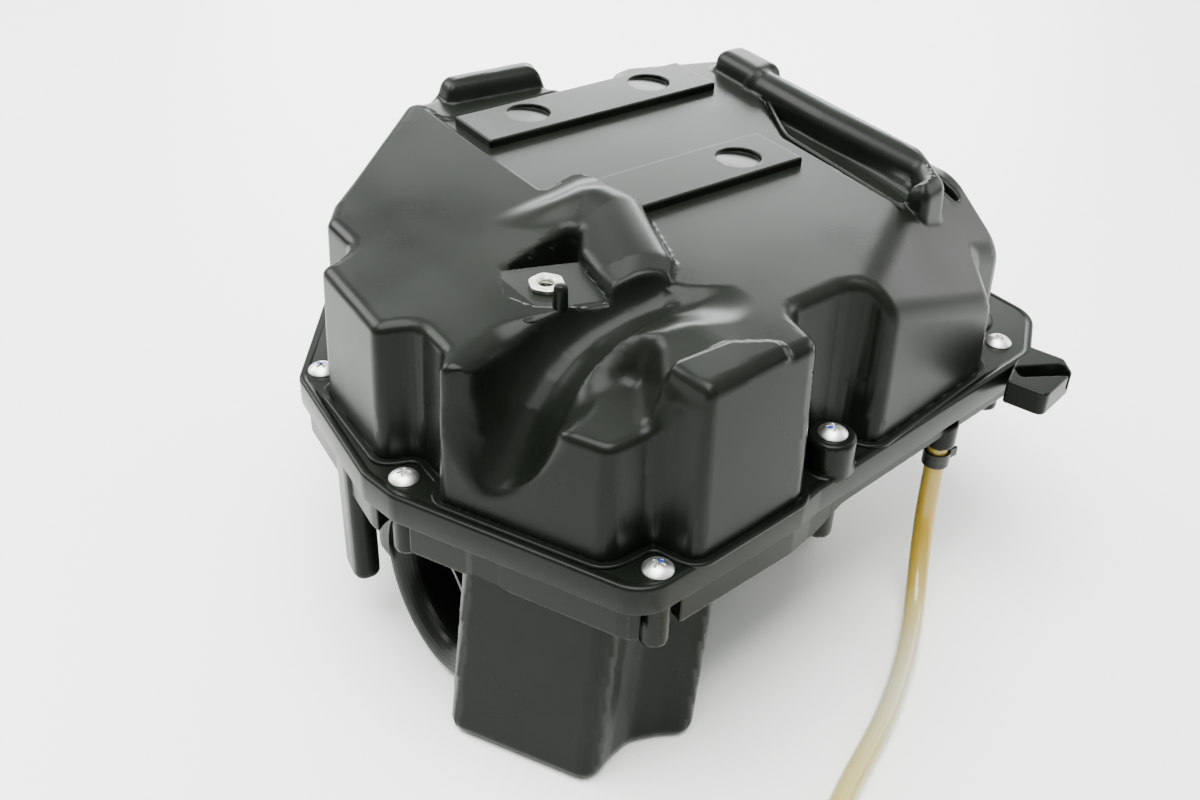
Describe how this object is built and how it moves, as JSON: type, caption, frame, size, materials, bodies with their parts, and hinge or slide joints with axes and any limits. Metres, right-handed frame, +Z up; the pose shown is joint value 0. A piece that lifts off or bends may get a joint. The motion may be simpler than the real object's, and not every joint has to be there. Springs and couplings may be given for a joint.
{
  "type": "air filter box",
  "caption": "Motorcycle airbox: black moulded cover screwed to a lower case with a side intake mouth, panel filter, bottom outlets and a drain hose.",
  "frame": {"origin": "middle of the underside of the housing's bounding box, without the drain hose and its plug", "axes": "+Z up along the cover screws, +X along the raised pads on the cover towards the hooked tab's end, +Y towards the rear mounting ear"},
  "size_m": [0.2742, 0.3656, 0.161],
  "materials": {
    "black_plastic": "satin moulded black polypropylene with a fine grain",
    "black_rubber": "matt black moulded rubber",
    "zinc_steel": "bright zinc-plated steel",
    "brass": "plain turned brass",
    "paper": "pleated filter paper",
    "wire_mesh": "fine metal mesh",
    "foam": "closed-cell foam",
    "hose": "translucent hose, yellowed with age"
  },
  "bodies": {
    "case": {"cover_gasket": "black_rubber", "case_inserts": "brass", "lower_case": "black_plastic", "intake_duct": "black_plastic", "mount_grommet": "black_rubber", "mount_collar": "zinc_steel", "drain_hose": "hose", "drain_plug": "black_rubber", "drain_clip": "zinc_steel", "funnel_screws": "zinc_steel", "outlet_funnel_left": "black_plastic", "outlet_boot_left": "black_rubber", "boot_clamp_left": "zinc_steel", "clamp_screw_left": "zinc_steel", "outlet_funnel_right": "black_plastic", "outlet_boot_right": "black_rubber", "boot_clamp_right": "zinc_steel", "clamp_screw_right": "zinc_steel"},
    "cover": {"upper_cover": "black_plastic", "bracket_nut": "zinc_steel", "locating_pin": "black_plastic"},
    "screws": {"cover_screws": "zinc_steel"},
    "filter": {"filter_frame": "black_plastic", "filter_media": "paper", "filter_screen": "wire_mesh", "filter_seal": "foam"}
  },
  "joints": [
    {"name": "cover_lift", "type": "slide", "parent": "case", "child": "cover", "axis": [0, 0, 1], "range_m": [0, 0.12]},
    {"name": "screws_out", "type": "slide", "parent": "cover", "child": "screws", "axis": [0, 0, 1], "range_m": [0, 0.03]},
    {"name": "filter_lift", "type": "slide", "parent": "case", "child": "filter", "axis": [0, 0, 1], "range_m": [0, 0.06]}
  ],
  "couplings": [
    {"joint": "filter_lift", "follows": "cover_lift", "ratio": 0.5}
  ]
}
